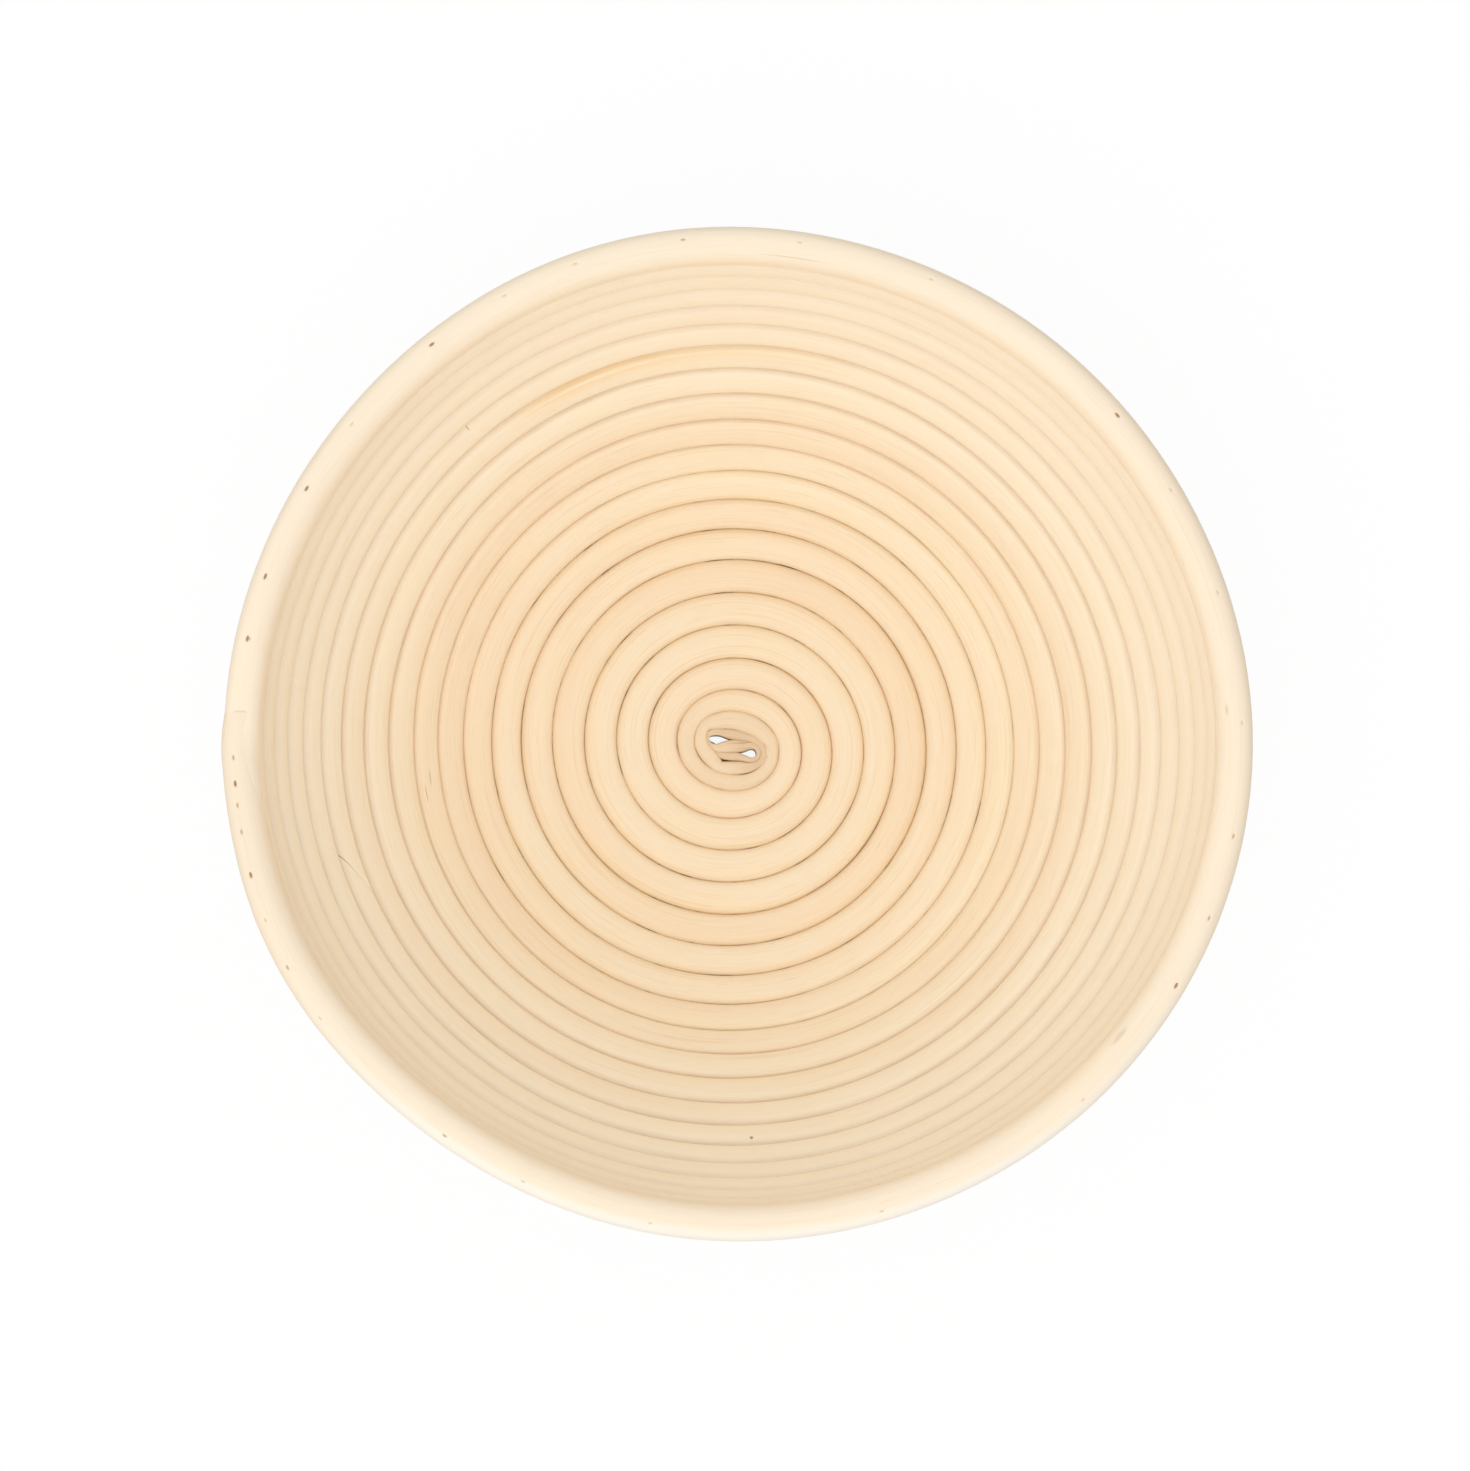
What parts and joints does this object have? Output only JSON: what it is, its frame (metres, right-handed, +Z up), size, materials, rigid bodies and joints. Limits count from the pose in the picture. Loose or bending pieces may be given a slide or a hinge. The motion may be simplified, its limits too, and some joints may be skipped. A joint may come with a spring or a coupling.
{
  "type": "bread proofing basket",
  "caption": "Round bowl-shaped bread proofing basket wound as a flat-bottomed spiral of rattan cane, nailed turn to turn, open at the top to hold rising dough.",
  "frame": {"origin": "middle of the footprint, on the surface that the basket stands on", "axes": "+Z up, out of the bowl's mouth; the spliced side and the pared end of the rim lie near -X"},
  "size_m": [0.2334, 0.2298, 0.0886],
  "materials": {
    "rattan": "matt, unvarnished",
    "nail_steel": "dull"
  },
  "bodies": {
    "root": {"base_cane": "rattan", "rim_cane": "rattan", "rim_nail_01": "nail_steel", "rim_nail_02": "nail_steel", "rim_nail_03": "nail_steel", "rim_nail_04": "nail_steel", "rim_nail_05": "nail_steel", "rim_nail_06": "nail_steel", "rim_nail_07": "nail_steel", "rim_nail_08": "nail_steel", "rim_nail_09": "nail_steel", "rim_nail_10": "nail_steel", "rim_nail_11": "nail_steel", "rim_nail_12": "nail_steel", "rim_nail_13": "nail_steel", "rim_nail_14": "nail_steel", "rim_nail_15": "nail_steel", "rim_nail_16": "nail_steel", "rim_nail_17": "nail_steel", "rim_nail_18": "nail_steel", "rim_nail_19": "nail_steel", "rim_nail_20": "nail_steel", "rim_nail_21": "nail_steel", "rim_nail_22": "nail_steel", "rim_nail_23": "nail_steel", "rim_nail_24": "nail_steel", "rim_nail_25": "nail_steel", "rim_nail_26": "nail_steel", "rim_nail_27": "nail_steel", "rim_nail_28": "nail_steel", "rim_nail_29": "nail_steel", "rim_nail_30": "nail_steel", "coil_nail_01": "nail_steel", "coil_nail_02": "nail_steel", "coil_nail_03": "nail_steel", "coil_nail_04": "nail_steel", "coil_nail_05": "nail_steel", "coil_nail_06": "nail_steel", "coil_nail_07": "nail_steel", "coil_nail_08": "nail_steel", "coil_nail_09": "nail_steel", "coil_nail_10": "nail_steel", "coil_nail_11": "nail_steel", "coil_nail_12": "nail_steel", "coil_nail_13": "nail_steel", "coil_nail_14": "nail_steel", "coil_nail_15": "nail_steel", "coil_nail_16": "nail_steel", "coil_nail_17": "nail_steel", "coil_nail_18": "nail_steel", "coil_nail_19": "nail_steel", "coil_nail_20": "nail_steel", "coil_nail_21": "nail_steel", "coil_nail_22": "nail_steel", "coil_nail_23": "nail_steel", "coil_nail_24": "nail_steel", "coil_nail_25": "nail_steel", "coil_nail_26": "nail_steel"}
  },
  "joints": []
}
